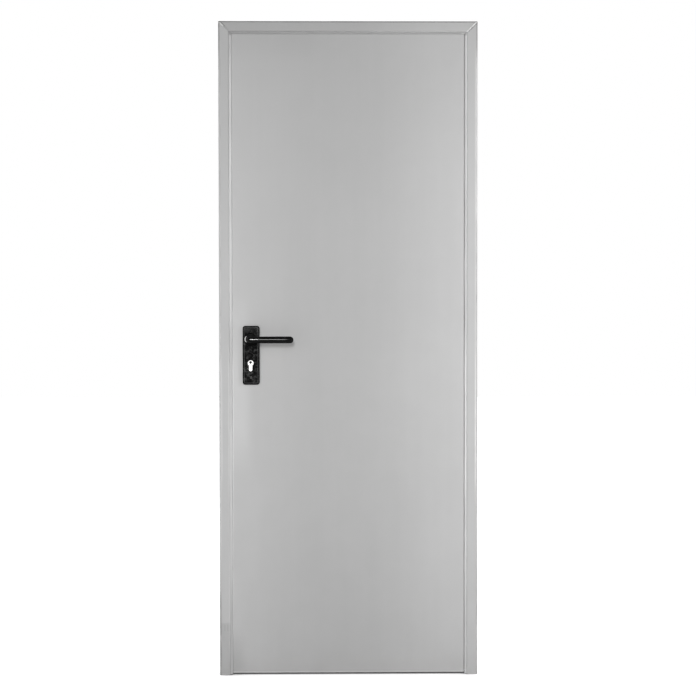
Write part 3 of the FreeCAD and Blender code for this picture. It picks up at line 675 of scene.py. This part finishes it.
# seal: a soft lip on the reveals, up the lock side, across the head and down the hinge side. Its section is a
# quarter of a superellipse, from its front on the reveal to its lip over the leaf's edge, closed by a flat
# rear. The section is carried along the three legs and mitred where they meet
seal = {
    "reach": (7.3 * mm, 5.6 * mm, 6.8 * mm),  # lock side, head, hinge side
    "front": (-2.6 * mm, 0.6 * mm, -5.0 * mm), "square": (1.3, 1.7, 1.8), "back": 3.4 * mm,
    "foot": 2 * mm, "onFront": 20, "onRear": 6, "stations": 140,
    "wave": 0.25 * mm, "waveLength": 0.31, "shortLength": 0.117, "shortShare": 0.6,
    "headWaves": 3.3, "hingeShift": 23,  # the hinge side waves like the lock side, some stations on
}


def addSeal():
    q = np.linspace(0, np.pi / 2, seal["onFront"])
    rear = np.linspace(1, 0, seal["onRear"] + 2)[1:]
    along = np.linspace(0, 1, seal["stations"])[:, None]
    outs, depths, sways = [], [], []
    for reach, front, square in zip(seal["reach"], seal["front"], seal["square"]):
        out = np.concatenate([np.sin(q) ** (2 / square), rear])
        rise = np.concatenate([np.clip(np.cos(q), 0, 1) ** (2 / square), np.zeros_like(rear)])
        outs.append(out * reach)
        depths.append(seal["back"] - rise * (seal["back"] - front))
        sways.append(out * seal["wave"] * np.sin(np.pi * along))  # waves a little, and not at the corners
    lock, head, hinge = outs
    lockX, hingeX, headZ = door["lockReveal"] + lock, door["hingeReveal"] - hinge, door["headReveal"] - head
    tall = headZ - seal["foot"]
    turn = 2 * np.pi * along
    upWave = np.sin(turn * tall / seal["waveLength"])
    upWave = upWave + seal["shortShare"] * np.sin(turn * tall / seal["shortLength"])
    still = np.zeros_like(along)
    legs = [
        (lockX + sways[0] * upWave, seal["foot"] + along * tall),
        (lockX + along * (hingeX - lockX), headZ - sways[1] * np.sin(turn * seal["headWaves"])),
        (hingeX - sways[2] * np.roll(upWave, seal["hingeShift"], axis=0), headZ - along * tall),
    ]
    grids = [
        np.stack(np.broadcast_arrays(x + still, y + still, z + still), axis=-1)
        for (x, z), y in zip(legs, depths)
    ]
    addPiece("seal_strip", [capped(np.concatenate(grids))], sealRubber, "frame", 50)


# weld bead: an ellipse carried along a line on a face, half of it in the sheet. Its height ripples in
# crescents, its width wanders, and both shrink to nothing at its ends
weld = {
    "step": 0.4 * mm, "around": 22, "endPower": 14, "pitch": 2.4 * mm, "ripple": 0.2, "crescent": 0.4,
    "wander": 0.12, "wanderLength": 13 * mm, "wanderShift": 900,  # shift: radians to a metre of height
}


def bead(start, end, normal, width, height):
    start, end, normal = np.array(start, float), np.array(end, float), np.array(normal, float)
    length = np.linalg.norm(end - start)
    along = (end - start) / length
    side = np.cross(normal, along)
    s = np.linspace(0, length, int(length / weld["step"]))[:, None]
    turn = np.linspace(0, 2 * np.pi, weld["around"], endpoint=False)[None, :]
    ends = np.sqrt(np.clip(1 - np.abs(2 * s / length - 1) ** weld["endPower"], 0, 1))
    shift = start[2] * weld["wanderShift"]
    wander = 1 + weld["wander"] * np.sin(2 * np.pi * s / weld["wanderLength"] + shift)
    crescent = s + weld["crescent"] * width * np.cos(turn) ** 2
    ripple = 1 + weld["ripple"] * np.sin(2 * np.pi * crescent / weld["pitch"])
    across = width / 2 * np.cos(turn) * wander * ends
    proud = height * np.sin(turn) * ripple * ends
    return start + s[..., None] * along + across[..., None] * side + proud[..., None] * normal


# mitre welds on both faces of the frame, painted over
mitres = {"width": 4.6 * mm, "height": 1.5 * mm, "inset": 2.5 * mm, "outset": 3.5 * mm}


def addMitreWelds():
    inset, outset = mitres["inset"], mitres["outset"]
    beads = []
    for y, outward in ((door["pushFace"], -1), (door["pullFace"], 1)):
        for side, way in (("lock", 1), ("hinge", -1)):
            inner = (door[f"{side}Reveal"] - way * inset, y, door["headReveal"] + inset)
            outer = (door[f"{side}Wall"] + way * outset, y, door["top"] - outset)
            beads.append(bead(inner, outer, (0, outward, 0), mitres["width"], mitres["height"]))
    addPiece("mitre_welds", beads, finishes["frame_steel"], "frame")


# screw head: a superellipse dome turned about a level axis and closed by a flat underside, with a cross sunk
# into it, shallower towards the rim. Rings run from the top's middle over the rim to the underside's middle
screw = {
    "rings": 22, "around": 56, "rimPower": 0.9, "domePower": 0.55,
    "armHalf": 0.13, "armReach": 0.52, "armSoft": 0.12, "shallower": 0.5,  # shares of the radius and depth
}


def screwHead(place, axis, look, turnBy):
    place, axis, radius = np.array(place, float), np.array(axis, float), look["radius"]
    q = np.linspace(0, np.pi / 2, screw["rings"])[:, None]
    turn = np.linspace(0, 2 * np.pi, screw["around"], endpoint=False)[None, :]
    ring = radius * np.sin(q) ** screw["rimPower"]
    dome = look["height"] * np.cos(q) ** screw["domePower"]
    u, v = ring * np.cos(turn + turnBy), ring * np.sin(turn + turnBy)

    def bar(value, half):
        return np.clip((half * radius - np.abs(value)) / (screw["armSoft"] * radius) + 0.5, 0, 1)

    upright = bar(u, screw["armHalf"]) * bar(v, screw["armReach"])
    level = bar(v, screw["armHalf"]) * bar(u, screw["armReach"])
    cut = np.maximum(upright, level) * (1 - screw["shallower"] * ring / radius)
    under = np.linspace(1, 0, 3)[:, None] * np.ones_like(turn)
    lift = np.concatenate([dome - look["depth"] * cut, -look["sink"] * np.ones_like(under)])
    ring = np.concatenate([ring * np.ones_like(turn), radius * under])
    across = np.cross([0.0, 0.0, 1.0], axis)
    across /= np.linalg.norm(across)
    up = np.cross(axis, across)
    flat = (ring * np.cos(turn))[..., None] * across + (ring * np.sin(turn))[..., None] * up
    return place + flat + lift[..., None] * axis


# frame screws in the holes of both jambs, their heads on the reveal
frameScrews = {
    "radius": 6.2 * mm, "height": 2.2 * mm, "depth": 1.5 * mm, "sink": 0.2 * mm, "turns": (0.4, 1.3),
}


def addFrameScrews():
    heads = []
    firstTurn, nextTurn = frameScrews["turns"]
    for mount in frame["record"]["mounts"]:
        if mount["kind"] == "bolt_pattern":
            reach = mount["dims"]["spacing_y_mm"] * mm / 2
            for k in (-1, 0, 1):
                place = np.array(mount["pos_m"]) + (0, 0, k * reach)
                turnBy = firstTurn + nextTurn * k + mount["axis"][0]
                heads.append(screwHead(place, mount["axis"], frameScrews, turnBy))
    addPiece("frame_screws", heads, finishes["hinge_steel"], "frame", 30)


# screws of the backplates: one low on the push side, one low and one high on the pull side
plateScrews = {
    "radius": 3.6 * mm, "height": 0.9 * mm, "depth": 1.1 * mm, "sink": 0.6 * mm,
    "low": 22 * mm, "high": 11 * mm, "turns": (0.5, 1.1, 0.2),
}


def addPlateScrews():
    x = middle("push_backplate")[0]
    low = lowCorner("push_backplate")[2] + plateScrews["low"]
    high = highCorner("push_backplate")[2] - plateScrews["high"]
    places = [
        ((x, door["pushPlate"], low), (0, -1, 0)),
        ((x, door["pullPlate"], low), (0, 1, 0)),
        ((x, door["pullPlate"], high), (0, 1, 0)),
    ]
    heads = [
        screwHead(place, axis, plateScrews, turnBy)
        for (place, axis), turnBy in zip(places, plateScrews["turns"])
    ]
    addPiece("plate_screws", heads, darkSteel, "leaf", 30)


# moulded line round each backplate, in a paler finish that paints its highlight: an ellipse carried along a
# rounded rectangle set in from the plate's edge, where every corner is a quarter circle and the straight runs
# join the corners
plateLine = {
    "inset": 5.2 * mm, "corner": 4.0 * mm, "width": 1.7 * mm, "height": 0.42 * mm, "arc": 12, "around": 16,
    "offAxis": 0.01,  # radians that a corner's arc stays off the next side
}


def addPlateLines():
    low, high = lowCorner("push_backplate"), highCorner("push_backplate")
    corner, offAxis = plateLine["corner"], plateLine["offAxis"]
    quarter = np.linspace(offAxis, np.pi / 2 - offAxis, plateLine["arc"])
    turn = (np.arange(4)[:, None] * np.pi / 2 + quarter).ravel()
    halfX = (high[0] - low[0]) / 2 - plateLine["inset"] - corner
    halfZ = (high[2] - low[2]) / 2 - plateLine["inset"] - corner
    turn = np.append(turn, turn[0])[:, None]
    section = np.linspace(0, 2 * np.pi, plateLine["around"], endpoint=False)[None, :]
    reach = corner + plateLine["width"] / 2 * np.cos(section)
    x = (low[0] + high[0]) / 2 + np.sign(np.cos(turn)) * halfX + np.cos(turn) * reach
    z = (low[2] + high[2]) / 2 + np.sign(np.sin(turn)) * halfZ + np.sin(turn) * reach
    proud = plateLine["height"] * np.sin(section) + np.zeros_like(turn)
    faces = ((door["pushPlate"], -1), (door["pullPlate"], 1))
    lines = [np.stack([x, face + way * proud, z], axis=-1) for face, way in faces]
    addPiece("plate_lines", lines, glintLineFinish, "leaf", 50)


# countersunk screws of the lock faceplate, and the smaller long screw that holds the cylinder
lockScrews = {
    "radius": 4.0 * mm, "height": 0.35 * mm, "depth": 1.0 * mm, "sink": 0.4 * mm, "inset": 12 * mm,
    "cylinderDrop": 15 * mm, "cylinderShare": 0.8, "turns": (0.3, 0.9, 0.1),
}


def addLockScrews():
    low, high = lowCorner("lock_faceplate"), highCorner("lock_faceplate")
    x, y = low[0], (low[1] + high[1]) / 2
    smaller = {**lockScrews, "radius": lockScrews["radius"] * lockScrews["cylinderShare"]}
    kinds = [
        (low[2] + lockScrews["inset"], lockScrews),
        (high[2] - lockScrews["inset"], lockScrews),
        (door["keyAxis"][2] - lockScrews["cylinderDrop"], smaller),
    ]
    heads = [
        screwHead((x, y, z), (-1, 0, 0), look, turnBy)
        for (z, look), turnBy in zip(kinds, lockScrews["turns"])
    ]
    addPiece("lock_screws", heads, finishes["lock_steel"], "leaf", 30)


# knuckle cap: a flattened dome with a small nipple, turned about the hinge's axis
cap = {
    "height": 2.4 * mm, "share": 0.97, "sink": 0.3 * mm, "arc": 16, "around": 48,
    "nipple": 0.22, "dome": 0.24, "nippleRise": 0.3,  # shares of the radius and height
    "rimPower": 0.8, "domePower": 0.5,
}


def knuckleCap(place, radius):
    q = np.linspace(0, np.pi / 2, cap["arc"])
    turn = np.linspace(0, 2 * np.pi, cap["around"], endpoint=False)
    nippleRing = radius * cap["nipple"] * np.sin(q)
    domeRing = radius * (cap["dome"] + (1 - cap["dome"]) * np.sin(q) ** cap["rimPower"])
    nippleLift = cap["height"] * (1 - cap["nippleRise"] + cap["nippleRise"] * np.cos(q))
    domeLift = cap["height"] * (1 - cap["nippleRise"]) * np.cos(q) ** cap["domePower"]
    ring = np.concatenate([nippleRing, domeRing, [radius, 0.0]])
    lift = np.concatenate([nippleLift, domeLift, [-cap["sink"], -cap["sink"]]])
    around = np.stack([np.cos(turn), np.sin(turn), np.zeros_like(turn)], axis=-1)
    return np.array(place) + ring[:, None, None] * around + lift[:, None, None] * np.array([0, 0, 1.0])


# hinge details: screws through the leaf wings, caps on the leaf knuckles and welds along the frame feet
hingeScrews = {
    "radius": 4.4 * mm, "height": 0.6 * mm, "depth": 1.1 * mm, "sink": 0.6 * mm, "turn": 0.7,
    # shares of the wing's length and height
    "places": ((0.20, 0.26), (0.20, 0.74), (0.58, 0.26), (0.58, 0.74)),
    "wing": 4.0 * mm,  # the wing's sheet on the leaf
}
footWelds = {"width": 4.5 * mm, "height": 1.7 * mm, "aside": 7.0 * mm, "inset": 1 * mm, "proud": 0.3 * mm}


def addHingeDetails():
    screws, welds, caps = [], [], []
    for side in ("lower", "upper"):
        low, high = lowCorner(f"{side}_hinge_leaf_half"), highCorner(f"{side}_hinge_leaf_half")
        pin = middle(f"{side}_hinge_pin")
        wing = pin[0] - low[0]
        face = door["leafPull"] + hingeScrews["wing"]
        for k, (along, tall) in enumerate(hingeScrews["places"]):
            place = (low[0] + along * wing, face, low[2] + tall * (high[2] - low[2]))
            screws.append(screwHead(place, (0, 1, 0), hingeScrews, hingeScrews["turn"] * k + low[2]))
        caps.append(knuckleCap((pin[0], pin[1], high[2]), cap["share"] * (high[0] - pin[0])))
        foot = lowCorner(f"{side}_hinge_frame_half")[2] + footWelds["inset"]
        top = highCorner(f"{side}_hinge_frame_half")[2] - footWelds["inset"]
        y = door["pullFace"] + footWelds["proud"]
        for x in (pin[0] - footWelds["aside"], pin[0] + footWelds["aside"]):
            welds.append(bead((x, y, foot), (x, y, top), (0, 1, 0), footWelds["width"], footWelds["height"]))
    addPiece("hinge_screws", screws, finishes["hinge_steel"], "leaf", 30)
    addPiece("hinge_caps", caps, finishes["hinge_steel"], "leaf")
    addPiece("hinge_welds", welds, finishes["frame_steel"], "frame")


addSeal()
addMitreWelds()
addFrameScrews()
addPlateLines()
addPlateScrews()
addLockScrews()
addHingeDetails()
print("pieces added")

# camera: where the photograph was taken from, on the door's own axes, with its turns in degrees
camera = {
    "place": (-0.4717, -5.0, 1.1375), "yaw": 0.867, "down": 1.519, "roll": -0.068,
    "lens": 84.49, "sensor": 36,
}


def addCamera():
    lens = bpy.data.cameras.new("photo_camera")
    lens.lens = camera["lens"]
    lens.sensor_width = camera["sensor"]
    view = bpy.data.objects.new("photo_camera", lens)
    view.location = camera["place"]
    view.rotation_euler = (math.radians(90 - camera["down"]), 0, -math.radians(camera["yaw"]))
    view.rotation_euler.rotate_axis("Z", math.radians(camera["roll"]))
    bpy.context.scene.collection.objects.link(view)
    bpy.context.scene.camera = view


# lamps: two tall narrow ones above the camera, tall ones beside the door, and broad ones behind it
lamps = {
    "front": {"place": (-0.8115, -4.6, 2.15), "aim": (-0.6, 0, 1.0), "size": (0.233, 0.95), "watts": 50},
    "front_left": {"place": (-0.885, -4.6, 2.15), "aim": (-0.6, 0, 1.0), "size": (0.04, 0.95), "watts": 32.6},
    "left": {"place": (-1.145, -0.7, 0.83), "aim": (-0.45, 0, 0.83), "size": (0.12, 1.5), "watts": 2.6},
    "right": {"place": (0.40, -0.65, 1.08), "aim": (-0.34, 0, 1.08), "size": (0.2, 1.9), "watts": 5.8},
    "back_left": {"place": (-2.4, 2.6, 1.7), "aim": (-0.4, 0, 1.0), "size": (4.2, 3.2), "watts": 60},
    "back_right": {"place": (1.7, 2.6, 1.7), "aim": (-0.4, 0, 1.0), "size": (4.2, 3.2), "watts": 60},
}


def addLamps():
    for name, lamp in lamps.items():
        light = bpy.data.lights.new(name, "AREA")
        light.shape = "RECTANGLE"
        light.size, light.size_y = lamp["size"]
        light.energy = lamp["watts"]
        holder = bpy.data.objects.new(name, light)
        x, y, z = np.array(lamp["aim"]) - np.array(lamp["place"])
        holder.location = lamp["place"]
        holder.rotation_euler = (math.atan2(math.hypot(x, y), -z), 0, math.atan2(-x, y))
        holder.visible_camera = False
        bpy.context.scene.collection.objects.link(holder)


# stage: a pale floor under a white world. The floor glows, less near the door, and not where the leaf or the
# frame stands over it
stage = {
    "ambient": 0.15, "floorTone": 0.8, "floorSize": 30.0, "floorPoints": 9,
    "glowNear": 0.76, "glowFar": 0.8, "coverReach": 0.10, "cover": (0.35, 0.70),
}


def seenDirectly(wire):  # 1 for what the camera sees, by itself, in a reflection or through glass
    kinds = ("Camera", "Glossy", "Transmission")
    return larger(*(wire.node("ShaderNodeLightPath", out=f"Is {kind} Ray") for kind in kinds))


def addWorld():
    world = bpy.data.worlds.new("studio")
    world.use_nodes = True
    world.node_tree.nodes.clear()
    wire = Wire(world.node_tree)
    strength = stage["ambient"] + seenDirectly(wire) * (1 - stage["ambient"])
    sky = wire.node("ShaderNodeBackground", None, {"Color": grey(1.0), "Strength": strength})
    wire.node("ShaderNodeOutputWorld", None, {"Surface": sky})
    bpy.context.scene.world = world


def floorFinish():
    finish, wire = newFinish("stage_floor")
    x, y, z = axes(wire, objectPoint(wire))
    spans = (x, door["lockReveal"], door["hingeReveal"]), (y, door["leafPush"], door["leafPull"])
    away = [
        larger(distanceFrom(value, (low + high) / 2) - (high - low) / 2, 0.0)
        for value, low, high in spans
    ]
    glow = stage["glowNear"] + fade(diagonal(*away), 0.0, stage["glowFar"]) * (1 - stage["glowNear"])
    reach = {"Distance": stage["coverReach"]}
    uncovered = wire.node("ShaderNodeAmbientOcclusion", {"samples": 8}, reach, out="AO")
    glow = glow * fade(uncovered, *stage["cover"]) * seenDirectly(wire)
    lit = wire.node("ShaderNodeEmission", None, {"Color": evenGrey(glow), "Strength": 1.0})
    plain = wire.node("ShaderNodeBsdfDiffuse", None, {"Color": grey(stage["floorTone"])})
    both = wire.node("ShaderNodeAddShader", None, {0: lit, 1: plain})
    wire.node("ShaderNodeOutputMaterial", None, {"Surface": both})
    return finish


def addFloor():
    count = stage["floorPoints"]
    reach = np.linspace(-stage["floorSize"] / 2, stage["floorSize"] / 2, count)
    across, along = np.meshgrid(reach, reach, indexing="ij")
    points = np.stack([across, along, np.zeros_like(across)], axis=-1)
    mesh = bpy.data.meshes.new("stage_floor")
    mesh.from_pydata(points.reshape(-1, 3).tolist(), [], gridFaces(count, count, False).tolist())
    mesh.materials.append(floorFinish())
    floor = bpy.data.objects.new("stage_floor", mesh)
    bpy.context.scene.collection.objects.link(floor)


addCamera()
addLamps()
addWorld()
addFloor()
bpy.context.scene.view_settings.view_transform = "Standard"
print("camera, lamps and stage placed")
